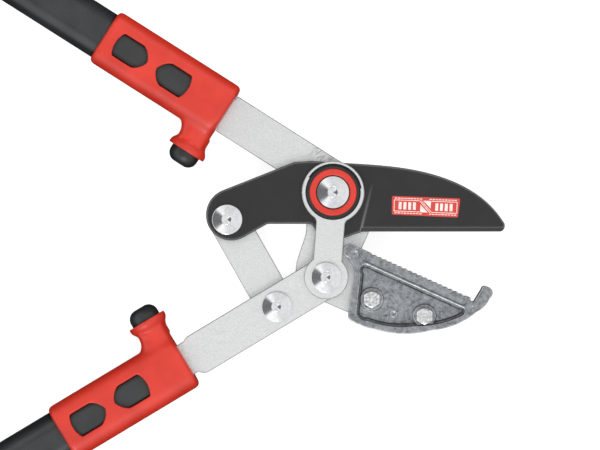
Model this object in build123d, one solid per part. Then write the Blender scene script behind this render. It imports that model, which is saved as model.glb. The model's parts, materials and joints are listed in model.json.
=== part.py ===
from build123d import *
import os
from math import cos, radians, sin

# A compound-action anvil lopper lying on its back, in millimetres. +X runs along the blade, +Y towards
# the upper handle, +Z up from the surface it lies on. The origin is on the main pivot's axis, at that
# surface. Four flat bars make the linkage: the frame plate, the lower lever, the blade and the link.

os.makedirs("parts", exist_ok=True)

# Linkage: where the four pivots are
pivot_spacing = 55.2        # main pivot to handle pivot
pivot_lean = 4.6            # degrees that this line leans away from -Y
tail_radius = 71.0          # main pivot to tail pivot, on the blade
tail_angle = 194.4          # its direction, degrees
lever_arm = 37.4            # handle pivot to link pivot, on the lower lever
upper_angle = 147.6         # direction of the upper handle
lower_angle = 211.0         # direction of the lower handle
cut_angle = 24.2            # how far the blade stands open, degrees
linkage_slack = 1.9         # radial play at the tail pivot, where the loop is left open

# Layers, counted up from the surface
plate_thickness = 5.0
layer_gap = 0.6             # between the two layers of plates
strap_thickness = 3.0
strap_gap = 0.3
washer_play = 0.1           # each side of a thrust washer
edge_break = 0.4            # on the stamped plates
hole_play = 0.1             # radial, round a bolt that only clamps
run_play = 0.05             # radial, where something turns
slip_play = 0.15            # round a piece pushed into another

# Frame plate
boss_radius = 19.5
upper_bar_width = 26.6
upper_bar_offset = 6.3      # its centre line, outwards from the main pivot
tongue_length = 97.0        # how far it reaches behind the anvil, along the jaw

# Lower lever and link
lower_bar_width = 26.8
tang_width = 21.7
tang_corner = 6.0
tang_length = 72.0          # inside the sleeve
link_width = 25.0

# Blade and anvil
cutting_drop = 25.5         # from the main pivot down to the cutting edge
cutting_length = 109.0      # from the main pivot along the edge
closing_play = 0.2          # between the closed blade and the teeth
grind_depth = 0.8           # taken off each side at the cutting edge
bevel_height = 2.6
edge_land = 0.4             # thickness left at the very edge
anvil_width = 14.0          # across the plates
tooth_pitch = 3.6
tooth_depth = 0.9
anvil_floor = 3.5           # thickness under the raised panel in the pocket
anvil_setback = 1.2         # how far its middle lies behind the blade's
rib_drop = 8.3              # thickness of the toothed rib
rib_step = 0.7              # how far the rib's face lies below the rim
panel_inset = 1.7           # from the pocket's wall to the raised panel
panel_rise = 0.8
pocket_play = 0.3

# Front strap and its eye
eye_radius = 20.3
eye_hole = 17.9
relief_radius = 18.6
strap_width = 18.6
strap_end_radius = 14.3

# Pivot hardware
main_shank = 6.0            # radii
side_shank = 4.0
bush_wall = 2.0
main_head_radius = 10.6
side_head_radius = 9.85
head_edge = 1.5             # straight rim under the turned cone
head_rise = 1.3             # height of the cone
nub_radius = 3.2            # flat left at the cone's tip
nub_height = 0.25
main_dimple = 3.0           # radius of the hollow in the nub
side_dimple = 2.6
dimple_depth = 0.5
main_nut_flats = 19.0
side_nut_flats = 13.0
side_nut_height = 6.6
washer_thickness = 1.2
main_washer_thickness = 1.5
main_washer_radius = 12.0
side_washer_radius = 9.5
main_thrust_radius = 16.0
side_thrust_radius = 11.0
collar_radius = 17.3
collar_base = 2.0
collar_height = 4.2
ring_outer = 15.3
ring_inner = 11.1
ring_height = 2.8
anvil_bolt = 3.0
anvil_bolt_flats = 10.0
anvil_bolt_places = [(51.4, 53.0), (87.1, 48.9)]    # along the cutting line and below the main pivot
anvil_bolt_head = 4.0
anvil_nut_height = 5.0
anvil_boss_radius = 7.5
anvil_boss_rise = 1.0

# Handles
tube_width = 32.5
tube_height = 22.0
tube_wall = 1.5
tube_length = 484.0
face_wall = 3.0             # sleeve over the tube, top and bottom
sleeve_side_wall = 2.85
sleeve_length = 93.4
sleeve_corner = 9.5
sleeve_nose = 6.0           # solid front of the sleeve, round the tang
upper_sleeve_front = 86.4   # from the main pivot
lower_sleeve_front = 106.2  # from the handle pivot
lower_tube_offset = 1.0     # tube axis, from the lever's line towards the other handle
shoulder_gap = 3.3          # from the lever's shoulder to the sleeve
window_half_width = 8.2
window_length = 14.7        # its parallel sides
window_nose = 7.4           # the pointed end beyond them
window_bulge = 2.3          # the rounded end beyond them
front_window = 31.1         # its rounded end, from the sleeve's front
rear_window = 82.2
arm_width = 18.9
arm_thickness = 20.0
arm_fillet = 9.0
cup_centre = 8.65           # cup's axis, from the sleeve's front
cup_reach = 35.0            # mouth of the cup, from the tube's axis
cup_radius = 13.0
cup_neck = 9.8
cup_recess = 2.5            # how deep the bumper's body sits in the mouth
stem_depth = 12.0           # how deep its stem goes
stem_radius = 6.5
bumper_radius = 9.9
bumper_reach = 44.2
grip_length = 136.0
grip_side_wall = 1.95
grip_face_wall = 2.2
grip_collar = 6.0           # raised band at the grip's front
grip_tail = 9.0             # flared band at its end
rib_pitch = 9.0
rib_width = 4.2
rib_rise = 0.8
cap_length = 16.0
cap_overhang = 4.25         # cap over the tube, each side
cap_seat = 2.0              # how far the tube runs into the cap
cap_spigot = 20.0           # how far the cap's plug runs into the tube
hang_hole = 4.0
hang_hole_place = 7.4       # from the cap's front
pin_radius = 3.0
pin_places = [16.0, 56.6]   # from the sleeve's front

# Worked out from the values above
handle_thickness = tube_height + 2 * face_wall
sleeve_width = tube_width + 2 * sleeve_side_wall
tube_end = sleeve_nose + tube_length
grip_start = tube_end - cap_seat - grip_length
grip_width = tube_width + 2 * grip_side_wall
grip_height = tube_height + 2 * grip_face_wall
cap_width = tube_width + 2 * cap_overhang
middle = handle_thickness / 2
rear_top = middle - layer_gap / 2
rear_bottom = rear_top - plate_thickness
front_bottom = middle + layer_gap / 2
front_top = front_bottom + plate_thickness
strap_bottom = front_top + strap_gap
strap_top = strap_bottom + strap_thickness
blade_middle = (front_bottom + front_top) / 2
anvil_top = blade_middle + anvil_width / 2 - anvil_setback
anvil_seat = rear_top + anvil_floor + anvil_boss_rise
tooth_drop = cutting_drop + closing_play


def polar(radius, angle):
    return Vector(radius * cos(radians(angle)), radius * sin(radians(angle)))


def jaw(along, drop):
    # A point by its distance along the anvil's cutting line and below it, from the main pivot
    direction = polar(1, -cut_angle)
    return Vector(along * direction.X + drop * direction.Y, along * direction.Y - drop * direction.X)


main_pivot = Vector(0, 0)
handle_pivot = polar(pivot_spacing, -90 - pivot_lean)
tail_pivot = polar(tail_radius, tail_angle)
link_pivot = handle_pivot + polar(lever_arm, lower_angle)


def corner_plate(corners):
    # A flat face from corners given as (point, corner radius)
    points = [Vector(*point) for point, _ in corners]
    face = make_face(Polyline(points, close=True)).face()
    for point, (_, radius) in zip(points, corners):
        if radius:
            face = face.fillet_2d(radius, face.vertices().sort_by_distance(point)[:1])
    return face


def traced_face(start, steps):
    # A flat face from lines (one point) and arcs (a point on the way, then the end)
    here = start
    edges = []
    for step in steps:
        if len(step) == 1:
            edges.append(Line(here, step[0]))
        else:
            edges.append(ThreePointArc(here, step[0], step[1]))
        here = step[-1]
    if (here - start).length > 0.01:
        edges.append(Line(here, start))
    return make_face(edges).face()


def slab(face, bottom, top):
    return extrude(Pos(0, 0, bottom) * face, amount=top - bottom, dir=(0, 0, 1))


def post(radius, height):
    # A cylinder standing on Z = 0
    return Cylinder(radius, height, align=(Align.CENTER, Align.CENTER, Align.MIN))


def disc(centre, radius, bottom, top):
    return Pos(centre.X, centre.Y, bottom) * post(radius, top - bottom)


def bar(start, angle, length, width, offset=0):
    # A straight strip that starts at a point and runs off at an angle
    strip = Rectangle(length, width, align=(Align.MIN, Align.CENTER))
    return (Pos(start.X, start.Y) * Rot(0, 0, angle) * Pos(0, offset) * strip).face()


def broken_edges(part, size, kept_sharp=lambda edge: False):
    # Breaks the sharp rims of a flat plate, top and bottom
    faces = part.faces().filter_by(Axis.Z).sort_by(Axis.Z)
    rims = faces[0].outer_wire().edges() + faces[-1].outer_wire().edges()
    return chamfer([edge for edge in rims if not kept_sharp(edge)], size)


def turned(profile):
    # A solid turned about Z from (radius, height) points, closed along the axis
    outline = make_face(Polyline([Vector(r, 0, z) for r, z in profile], close=True))
    return revolve(outline, Axis.Z, 360)


def at(pivot, part):
    return Pos(pivot.X, pivot.Y, 0) * part


def hexagon(flats, height):
    # A hexagonal prism standing on Z = 0, with its corners rounded off at both ends
    prism = extrude(RegularPolygon(flats / 2, 6, major_radius=False, rotation=30), height)
    corner = flats / 2 / cos(radians(30))
    lift = (corner - flats / 2) * 0.6
    low = flats / 2 * 0.96
    barrel = turned([(0, 0), (low, 0), (corner, lift), (corner, height - lift), (low, height), (0, height)])
    return prism & barrel


# Frame plate: upper bar, boss and the tongue that carries the anvil

def upper_handle_plane():
    side = polar(upper_bar_offset, upper_angle - 90)
    start = side + polar(upper_sleeve_front, upper_angle)
    return Plane(origin=(start.X, start.Y, middle), x_dir=polar(1, upper_angle), z_dir=(0, 0, 1))


def lower_handle_plane():
    side = polar(lower_tube_offset, lower_angle - 90)
    start = handle_pivot + side + polar(lower_sleeve_front, lower_angle)
    return Plane(origin=(start.X, start.Y, middle), x_dir=polar(1, lower_angle), z_dir=(0, 0, -1))


def tongue_face(grown):
    # The stretch behind the anvil, grown for the pocket that holds it
    top = tooth_drop + rib_drop + 4 - grown
    return corner_plate([
        (jaw(10, top), 0), (jaw(tongue_length + grown, top), 5 + grown),
        (jaw(tongue_length + grown, 49 + grown), 5), (jaw(79, 60.5 + grown), 20),
        (jaw(58, 67 + grown), 20), (jaw(10, 67.6 + grown), 0)])


def frame_body_face(grown):
    # The web between the two pivots, with the lug beside the blade's heel
    lug = 32 + grown
    return corner_plate([
        ((-17.3, 4), 0), ((-17.3, -26), 20), ((-23.6, -45), 12), ((-25.6, -62), 16),
        (jaw(20, 67.6 + grown), 0), (jaw(50 + grown, 50 - grown), 0), (jaw(lug, 34 - grown), 4),
        (jaw(lug, 9), 7), ((17, 4), 0)])


def make_frame_plate():
    body = frame_body_face(0)
    long_bar = bar(main_pivot, upper_angle, upper_sleeve_front - 0.5, upper_bar_width, -upper_bar_offset)
    tang = bar(main_pivot, upper_angle, upper_sleeve_front + tang_length, tang_width, -upper_bar_offset)
    boss = Circle(boss_radius).face()
    outline = Sketch() + [body, long_bar, tang, boss, tongue_face(0)]
    plate = slab(outline, rear_bottom, rear_top)
    plate -= disc(main_pivot, main_shank + hole_play, 0, middle)
    plate -= disc(handle_pivot, side_shank + hole_play, 0, middle)
    for along, drop in anvil_bolt_places:
        plate -= disc(jaw(along, drop), anvil_bolt + hole_play, 0, middle)
    plate = broken_edges(plate, edge_break)
    return plate - pin_holes(upper_handle_plane())


# Lower lever, link and blade

def make_lower_lever():
    long_bar = bar(handle_pivot, lower_angle, lower_sleeve_front - shoulder_gap, lower_bar_width)
    shoulders = long_bar.vertices().sort_by_distance(handle_pivot)[-2:]
    long_bar = long_bar.fillet_2d(tang_corner, shoulders)
    tang = bar(handle_pivot, lower_angle, lower_sleeve_front + tang_length, tang_width, -lower_tube_offset)
    end = Pos(handle_pivot.X, handle_pivot.Y) * Circle(lower_bar_width / 2)
    plate = slab(Sketch() + [long_bar, tang, end.face()], front_bottom, front_top)
    plate -= disc(handle_pivot, side_shank + run_play + bush_wall, 0, handle_thickness)
    plate -= disc(link_pivot, side_shank, 0, handle_thickness)
    plate = broken_edges(plate, edge_break)
    return plate - pin_holes(lower_handle_plane())


def link_length():
    return (tail_pivot - link_pivot).length


def link_angle():
    return Vector(1, 0).get_signed_angle(tail_pivot - link_pivot, Vector(0, 0, 1))


def make_link():
    outline = Sketch() + bar(link_pivot, link_angle(), link_length(), link_width)
    outline += [Pos(p.X, p.Y) * Circle(link_width / 2) for p in (link_pivot, tail_pivot)]
    plate = slab(outline, rear_bottom, rear_top)
    plate -= disc(link_pivot, side_shank + run_play + bush_wall, 0, middle)
    plate -= disc(tail_pivot, side_shank + linkage_slack, 0, middle)
    return broken_edges(plate, edge_break)


def blade_face():
    # Back, tip, cutting edge, heel, belly and tail, in that order
    back = Spline([(-13.7, 20.4), (34.5, 17.2), (76, 8), (97.5, -4.2), (110.4, -18.6)])
    heel = polar(30.4, -90)
    edges = back.edges() + [
        ThreePointArc((110.4, -18.6), (111.6, -22.6), (cutting_length, -cutting_drop)),
        Line((cutting_length, -cutting_drop), (19.5, -cutting_drop)),
        ThreePointArc((19.5, -cutting_drop), (15.6, -26.6), (11.2, -28.3)),
        ThreePointArc((11.2, -28.3), polar(30.4, -79), heel),
        Line(heel, (-8, -30)),
        Line((-8, -30), (-14, -20.5)),
        Line((-14, -20.5), (-42.6, -20.5)),
        Line((-42.6, -20.5), (-61.8, -31.2)),
        Line((-61.8, -31.2), (-82.5, -31.2)),
        Line((-82.5, -31.2), (-82.5, -2.9)),
        Line((-82.5, -2.9), (-25.2, 19.7)),
        Line((-25.2, 19.7), (-13.7, 20.4))]
    face = make_face(edges).face()
    for corner, radius in (((-82.5, -2.9), 17.2), ((-82.5, -31.2), 16.3), ((-61.8, -31.2), 16.3),
                           ((-42.6, -20.5), 2), ((-14, -20.5), 3), ((-8, -30), 3), ((-25.2, 19.7), 6)):
        face = face.fillet_2d(radius, face.vertices().sort_by_distance(Vector(*corner))[:1])
    return face


def grind_cutter():
    # What the grinder takes off the front of the blade: a long taper, then the cutting bevel
    region = make_face(Polyline((25.6, 6), (17.6, -27), (18, -60), (140, -60), (140, 6), close=True))
    depth = plate_thickness / 2
    bevel_y = -cutting_drop + bevel_height
    side = make_face(Polyline([
        Vector(0, 6, depth), Vector(0, bevel_y, depth - grind_depth),
        Vector(0, -cutting_drop, edge_land / 2), Vector(0, -cutting_drop - 2, edge_land / 2),
        Vector(0, -cutting_drop - 2, depth + 5), Vector(0, 6, depth + 5)], close=True))
    return extrude(side, 200, dir=(1, 0, 0)) & slab(region, -depth, depth + 5)


def make_blade():
    blade = slab(blade_face(), -plate_thickness / 2, plate_thickness / 2)
    blade = broken_edges(blade, edge_break, lambda edge: edge.center().Y < -10 and edge.center().X > 50)
    cutter = grind_cutter()
    blade -= cutter
    blade -= mirror(cutter, Plane.XY)
    blade = Pos(0, 0, blade_middle) * blade
    blade -= disc(main_pivot, main_shank + run_play + bush_wall, 0, handle_thickness)
    return blade - disc(tail_pivot, side_shank, 0, handle_thickness)


def make_blade_label(blade):
    # A thin printed panel that lies on the tapered face
    outline = corner_plate([((38.3, -2.3), 1), ((82.7, -4), 1), ((81.1, -16.3), 1), ((38.2, -14.4), 1)])
    prism = slab(outline, blade_middle, handle_thickness)
    return (Pos(0, 0, 0.15) * blade & prism) - blade


# Anvil casting, bolted in front of the frame plate's tongue


def anvil_face():
    top = tooth_drop
    steps = [
        [jaw(109.6, top)], [jaw(110.1, top + 1.1)], [jaw(111.3, top + 1.9), jaw(112.5, top + 0.9)],
        [jaw(113.0, 22)], [jaw(113.6, 18)],
        [jaw(114.4, 15.2), jaw(116.4, 14.8)], [jaw(120.4, 15.6), jaw(121, 21)],
        [jaw(120.2, 27), jaw(117, 32.4)], [jaw(108, 45.6), jaw(95, 55.6)],
        [jaw(81, 64.4), jaw(61, 70.2)], [jaw(54, 71.4), jaw(46, 71.3)],
        [jaw(43, 70.6), jaw(41.6, 68.4)], [jaw(36.6, 50.3)],
        [jaw(33, 40.2), jaw(26, 34.6)], [jaw(21.4, 31.6), jaw(23, top + 0.8)],
        [jaw(23.9, top + 0.1), jaw(25, top)]]
    return traced_face(jaw(25, top), steps)


def anvil_pocket():
    top = tooth_drop + rib_drop
    steps = [
        [jaw(106, top)], [jaw(109.6, top + 1.6), jaw(109, 38.6)],
        [jaw(99, 48.4), jaw(84.4, 57)], [jaw(71, 63.4), jaw(54, 66.8)],
        [jaw(48, 67), jaw(45.6, 64)], [jaw(41.2, 50.2)], [jaw(38.2, top + 7)],
        [jaw(36.6, top + 2), jaw(39, top)]]
    return traced_face(jaw(39, top), steps)


def rib_face():
    # The toothed rib's own face, up to the ridge along the pocket
    ridge = tooth_drop + rib_drop - 1.5
    above = tooth_drop - 3
    return corner_plate([
        (jaw(30, above), 0), (jaw(108.6, above), 0), (jaw(108.6, ridge), 2), (jaw(36, ridge), 3),
        (jaw(30, ridge - 3.5), 2)])


def tooth_gaps():
    gaps = Part()
    first = 38.5
    foot = 0.9 * tooth_pitch
    above = tooth_drop - 1
    for number in range(int((110 - first) / tooth_pitch)):
        start = first + number * tooth_pitch
        gap = make_face(Polyline(
            jaw(start, above), jaw(start, tooth_drop), jaw(start + tooth_pitch / 2, tooth_drop + tooth_depth),
            jaw(start + foot, tooth_drop), jaw(start + foot, above), close=True))
        gaps += slab(gap.face(), rear_bottom - 1, anvil_top + 1)
    return gaps


def make_anvil():
    anvil = slab(anvil_face(), rear_bottom, anvil_top)
    floor_top = rear_top + anvil_floor
    anvil -= slab(anvil_pocket(), floor_top - panel_rise, anvil_top)
    anvil -= slab(rib_face(), anvil_top - rib_step, anvil_top)
    raised_panel = offset(anvil_pocket(), -panel_inset).face()
    anvil += slab(raised_panel, rear_top, floor_top)
    for along, drop in anvil_bolt_places:
        anvil += disc(jaw(along, drop), anvil_boss_radius, rear_top, anvil_seat)
        anvil -= disc(jaw(along, drop), anvil_bolt + hole_play, 0, handle_thickness)
    anvil -= slab(tongue_face(pocket_play), rear_bottom - 1, rear_top)
    anvil -= slab(frame_body_face(pocket_play), rear_bottom - 1, rear_top)
    return anvil - tooth_gaps()


def make_anvil_bolts():
    foot = rear_bottom - anvil_nut_height
    bolt = Pos(0, 0, anvil_seat) * hexagon(anvil_bolt_flats, anvil_bolt_head)
    bolt += Pos(0, 0, foot) * post(anvil_bolt, anvil_seat - foot)
    return Compound([at(jaw(*place), bolt).solid() for place in anvil_bolt_places])


def make_anvil_nuts():
    foot = rear_bottom - anvil_nut_height
    body = hexagon(anvil_bolt_flats, anvil_nut_height) - post(anvil_bolt, anvil_nut_height)
    return Compound([at(jaw(*place), Pos(0, 0, foot) * body).solid() for place in anvil_bolt_places])


# Front strap

def make_front_strap():
    angle = Vector(1, 0).get_signed_angle(handle_pivot, Vector(0, 0, 1))
    outline = Sketch() + bar(main_pivot, angle, pivot_spacing, strap_width)
    outline += [Circle(eye_radius), Pos(handle_pivot.X, handle_pivot.Y) * Circle(strap_end_radius)]
    outline = outline.face()
    necks = [v for v in outline.vertices() if abs(Vector(v.X, v.Y).length - eye_radius) < 0.1]
    outline = outline.fillet_2d(4, necks)
    strap = broken_edges(slab(outline, strap_bottom, strap_top), edge_break)
    strap -= disc(main_pivot, eye_hole, strap_bottom, strap_top)
    strap -= slab(relief_face(), strap_bottom, strap_top)
    return strap - disc(handle_pivot, side_shank + hole_play, strap_bottom, strap_top)


def relief_face():
    # The slot that lets the collar's key swing while the play is being set
    start = 8
    end = 148
    half_way = (start + end) / 2
    inner = eye_hole - 1
    outer = relief_radius
    return traced_face(polar(outer, start), [
        [polar(outer, half_way), polar(outer, end)], [polar(inner, end)],
        [polar(inner, half_way), polar(inner, start)]])


# Turned pivot hardware

def coned_bolt(head_radius, shank_radius, dimple, seat, end):
    # A bolt with a straight rim, a shallow turned cone and a hollow nub, standing on its seat
    rim = seat + head_edge
    tip = rim + head_rise
    return turned([
        (0, end), (shank_radius, end), (shank_radius, seat), (head_radius, seat),
        (head_radius, rim - edge_break), (head_radius - edge_break, rim), (nub_radius + 0.2, tip),
        (nub_radius, tip + nub_height), (dimple, tip + nub_height), (0, tip + nub_height - dimple_depth)])


def washer(inner, outer, bottom, top):
    return turned([(inner, bottom), (outer, bottom), (outer, top), (inner, top)])


def nut(flats, height, bore, top):
    shape = Pos(0, 0, top - height) * hexagon(flats, height)
    return shape - Pos(0, 0, top - height) * Cylinder(bore, 3 * height)


def make_main_pivot_collar():
    base_top = strap_bottom + collar_base
    top = strap_bottom + collar_height
    return turned([
        (main_shank + hole_play, strap_bottom), (eye_hole - run_play, strap_bottom),
        (eye_hole - run_play, base_top), (collar_radius, base_top), (collar_radius, top - 0.5),
        (collar_radius - 0.5, top), (ring_outer + hole_play, top), (ring_outer + hole_play, base_top),
        (main_shank + hole_play, base_top)])


def make_main_pivot_ring():
    bottom = strap_bottom + collar_base
    ring = washer(ring_inner, ring_outer, bottom, bottom + ring_height)
    return fillet(ring.edges().filter_by(GeomType.CIRCLE).group_by(Axis.Z)[-1], 0.8)


def make_thrust_washer(pivot, inner, outer):
    return at(pivot, washer(inner, outer, rear_top + washer_play, front_bottom - washer_play))


def pivot_hardware():
    # Every bolt, nut, washer and bush, by name
    pieces = {}
    main_seat = strap_bottom + collar_base
    main_nut_top = rear_bottom - main_washer_thickness
    pieces["main_pivot_bolt"] = coned_bolt(main_head_radius, main_shank, main_dimple, main_seat, 0)
    pieces["main_pivot_washer"] = washer(
        main_shank + hole_play, main_washer_radius, main_nut_top, rear_bottom)
    pieces["main_pivot_nut"] = nut(main_nut_flats, main_nut_top, main_shank, main_nut_top)
    pieces["blade_bush"] = washer(main_shank + run_play, main_shank + run_play + bush_wall,
                                  front_bottom, front_top)
    side_top = rear_bottom - washer_thickness
    side_end = side_top - side_nut_height
    places = {
        "handle_pivot": (handle_pivot, strap_top), "tail_pivot": (tail_pivot, front_top),
        "link_pivot": (link_pivot, front_top)}
    for name, (pivot, seat) in places.items():
        bolt = coned_bolt(side_head_radius, side_shank, side_dimple, seat, side_end)
        pieces[name + "_bolt"] = at(pivot, bolt)
        flat_ring = washer(side_shank + hole_play, side_washer_radius, side_top, rear_bottom)
        pieces[name + "_washer"] = at(pivot, flat_ring)
        pieces[name + "_nut"] = at(pivot, nut(side_nut_flats, side_nut_height, side_shank, side_top))
    bush = (side_shank + run_play, side_shank + run_play + bush_wall)
    pieces["lever_bush"] = at(handle_pivot, washer(*bush, front_bottom, front_top))
    pieces["link_bush"] = at(link_pivot, washer(*bush, rear_bottom, rear_top))
    return pieces


# Handles. They are drawn along +X from the sleeve's front, with +Y towards the other handle.

def stadium(width, height, start, length):
    section = Plane.YZ * SlotOverall(width, height) if width > height else Plane.YZ * Circle(width / 2)
    return Pos(start, 0, 0) * extrude(section, length, dir=(1, 0, 0))


def tube_room(start, length):
    # What the tube needs inside a piece that slips over it
    return stadium(tube_width + 2 * slip_play, tube_height + 2 * slip_play, start, length)


tang_middle = rear_top - plate_thickness / 2 - middle


def pin_holes(plane):
    holes = Part()
    for place in pin_places:
        holes += plane.location * Pos(place, 0, 0) * Cylinder(pin_radius + run_play, 2 * handle_thickness)
    return holes


def make_tube():
    tube = stadium(tube_width, tube_height, sleeve_nose, tube_length)
    bore = stadium(tube_width - 2 * tube_wall, tube_height - 2 * tube_wall, sleeve_nose - 1, tube_length + 2)
    holes = Part()
    for place in pin_places:
        holes += Pos(place, 0, 0) * Cylinder(pin_radius, 2 * handle_thickness)
    return tube - bore - holes


def make_core():
    inset = tube_wall + slip_play
    core = stadium(tube_width - 2 * inset, tube_height - 2 * inset, sleeve_nose, tang_length + 6)
    slot = Box(tang_length + slip_play, tang_width + 2 * slip_play, plate_thickness + 2 * hole_play,
               align=(Align.MIN, Align.CENTER, Align.CENTER))
    core -= Pos(0, 0, tang_middle) * slot
    for place in pin_places:
        core -= Pos(place, 0, 0) * Cylinder(pin_radius, 2 * handle_thickness)
    return core


def make_pins():
    pins = [Pos(place, 0, 0) * Cylinder(pin_radius, tube_height) for place in pin_places]
    return Compound([pin.solid() for pin in pins])


def window_face(end, way):
    # A slot with a pointed nose one way and a gently rounded end the other
    half = window_half_width
    shoulder = end + way * window_length
    tip = shoulder + way * window_nose
    side = (shoulder + way * 0.62 * window_nose, 0.6 * half)
    outline = traced_face(Vector(end, -half), [
        [Vector(end - way * window_bulge, 0), Vector(end, half)], [Vector(shoulder, half)],
        [Vector(*side), Vector(tip, 0)], [Vector(side[0], -side[1]), Vector(shoulder, -half)]])
    return outline.fillet_2d(3, outline.vertices().sort_by_distance(Vector(tip, 0))[:1])


def make_flare():
    # The cup's outer shape, turned about Z with its mouth up
    neck = cup_reach - 8.4
    swell = cup_radius - cup_neck
    return turned([
        (0, neck - 6), (cup_neck, neck - 6), (cup_neck, neck), (cup_neck + 0.2 * swell, neck + 1.6),
        (cup_neck + 0.55 * swell, neck + 3.6), (cup_neck + 0.8 * swell, neck + 5),
        (cup_radius, cup_reach - 1.4), (cup_radius, cup_reach), (0, cup_reach)])


def make_socket(play):
    # The stepped room the bumper and its stem sit in
    floor = cup_reach - stem_depth
    step = cup_reach - cup_recess
    return turned([
        (0, floor), (stem_radius + play, floor), (stem_radius + play, step), (bumper_radius + play, step),
        (bumper_radius + play, cup_reach + 5), (0, cup_reach + 5)])


cup_place = Plane(origin=(cup_centre, 0, 0), x_dir=(1, 0, 0), z_dir=(0, 1, 0)).location


def make_arm():
    side = sleeve_width / 2 - 1.5
    foot = arm_width + 40
    reach = cup_reach - 3
    outline = corner_plate([
        ((0, 0), 0), ((foot, 0), 0), ((foot, side), 0), ((arm_width, side), arm_fillet),
        ((arm_width, reach), 0), ((0, reach), 0)])
    arm = extrude(outline, arm_thickness / 2, both=True, dir=(0, 0, 1))
    rims = arm.faces().filter_by(Axis.Z).edges()
    outer = rims.filter_by(lambda e: 1 < e.center().Y < reach - 0.5 and e.center().X < foot - 10)
    return fillet(outer, 6)


def make_sleeve(bar_width):
    section = Plane.YZ * RectangleRounded(sleeve_width, handle_thickness, sleeve_corner)
    sleeve = extrude(section, sleeve_length, dir=(1, 0, 0))
    sleeve = fillet(sleeve.faces().filter_by(Axis.X).edges(), 3)
    sleeve += [make_arm(), cup_place * make_flare()]
    sleeve -= cup_place * make_socket(hole_play)
    sleeve -= tube_room(sleeve_nose, sleeve_length)
    slot = Box(20, bar_width + 2 * slip_play, plate_thickness + 2 * hole_play)
    sleeve -= Pos(0, 0, tang_middle) * slot
    for face in (window_face(front_window, 1), window_face(rear_window, -1)):
        sleeve -= extrude(face, handle_thickness, both=True, dir=(0, 0, 1))
    return sleeve


def make_bumper():
    floor = cup_reach - stem_depth
    step = cup_reach - cup_recess
    crown = bumper_radius - 6.4
    outline = traced_face(Vector(0, floor), [
        [Vector(stem_radius, floor)], [Vector(stem_radius, step)], [Vector(bumper_radius, step)],
        [Vector(bumper_radius, bumper_reach - 6)],
        [Vector(bumper_radius - 2.2, bumper_reach - 1.6), Vector(crown, bumper_reach)],
        [Vector(0, bumper_reach)]])
    return Pos(cup_centre, 0, 0) * revolve(outline, Axis.Y, 360)


def make_grip():
    # A rubber sleeve with a collar, ribs and a flared tail
    grip = stadium(grip_width, grip_height, grip_start, grip_length)
    collar = stadium(grip_width + 3, handle_thickness, grip_start, grip_collar)
    grip += fillet(collar.faces().filter_by(Axis.X).edges(), 2)
    tail = stadium(cap_width, handle_thickness, grip_start + grip_length - grip_tail, grip_tail)
    grip += fillet(tail.faces().filter_by(Axis.X).sort_by(Axis.X)[0].edges(), 4)
    first = grip_start + grip_collar + 11
    count = int((grip_length - 40) / rib_pitch)
    for number in range(count):
        rib = stadium(grip_width + 2 * rib_rise, handle_thickness, first + number * rib_pitch, rib_width)
        grip += fillet(rib.faces().filter_by(Axis.X).edges(), 0.7)
    return grip - tube_room(grip_start - 1, grip_length + 2)


def make_end_cap():
    start = grip_start + grip_length
    cap = stadium(cap_width, handle_thickness, start, cap_length)
    cap = fillet(cap.faces().filter_by(Axis.X).sort_by(Axis.X)[-1].edges(), 5)
    inset = tube_wall + slip_play
    floor = tube_end + 0.5
    cap -= tube_room(start - 1, floor - start + 1)
    plug_start = tube_end - cap_spigot
    cap += stadium(tube_width - 2 * inset, tube_height - 2 * inset, plug_start, floor - plug_start)
    return cap - Pos(start + hang_hole_place, 0, 0) * Cylinder(hang_hole, 2 * handle_thickness)


def handle_pieces(prefix, plane, bar_width):
    local = {
        "sleeve": make_sleeve(bar_width), "bumper": make_bumper(), "tube": make_tube(), "core": make_core(),
        "tang_pins": make_pins(), "grip": make_grip(), "end_cap": make_end_cap()}
    return {prefix + "_" + name: plane.location * piece for name, piece in local.items()}


def main():
    blade = make_blade()
    pieces = {
        "frame_plate": make_frame_plate(), "lower_lever": make_lower_lever(), "link": make_link(),
        "blade": blade, "blade_label": make_blade_label(blade), "anvil": make_anvil(),
        "anvil_bolts": make_anvil_bolts(), "anvil_nuts": make_anvil_nuts(),
        "front_strap": make_front_strap(), "main_pivot_collar": make_main_pivot_collar(),
        "main_pivot_ring": make_main_pivot_ring()}
    pieces.update(pivot_hardware())
    thrust = {
        "main_thrust_washer": (main_pivot, main_shank, main_thrust_radius),
        "handle_thrust_washer": (handle_pivot, side_shank, side_thrust_radius),
        "link_thrust_washer": (link_pivot, side_shank, side_thrust_radius),
        "tail_thrust_washer": (tail_pivot, side_shank, side_thrust_radius)}
    for name, (pivot, shank, outer) in thrust.items():
        pieces[name] = make_thrust_washer(pivot, shank + hole_play, outer)
    pieces.update(handle_pieces("upper", upper_handle_plane(), tang_width))
    pieces.update(handle_pieces("lower", lower_handle_plane(), tang_width))
    for name, piece in pieces.items():
        export_step(piece, "parts/" + name + ".step")
    print(len(pieces), "sub-parts written")
    print("link length", round(link_length(), 2))


main()
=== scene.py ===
import json
import math
import bmesh
import bpy
from mathutils import Matrix, Vector, noise
from mathutils.bvhtree import BVHTree


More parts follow.
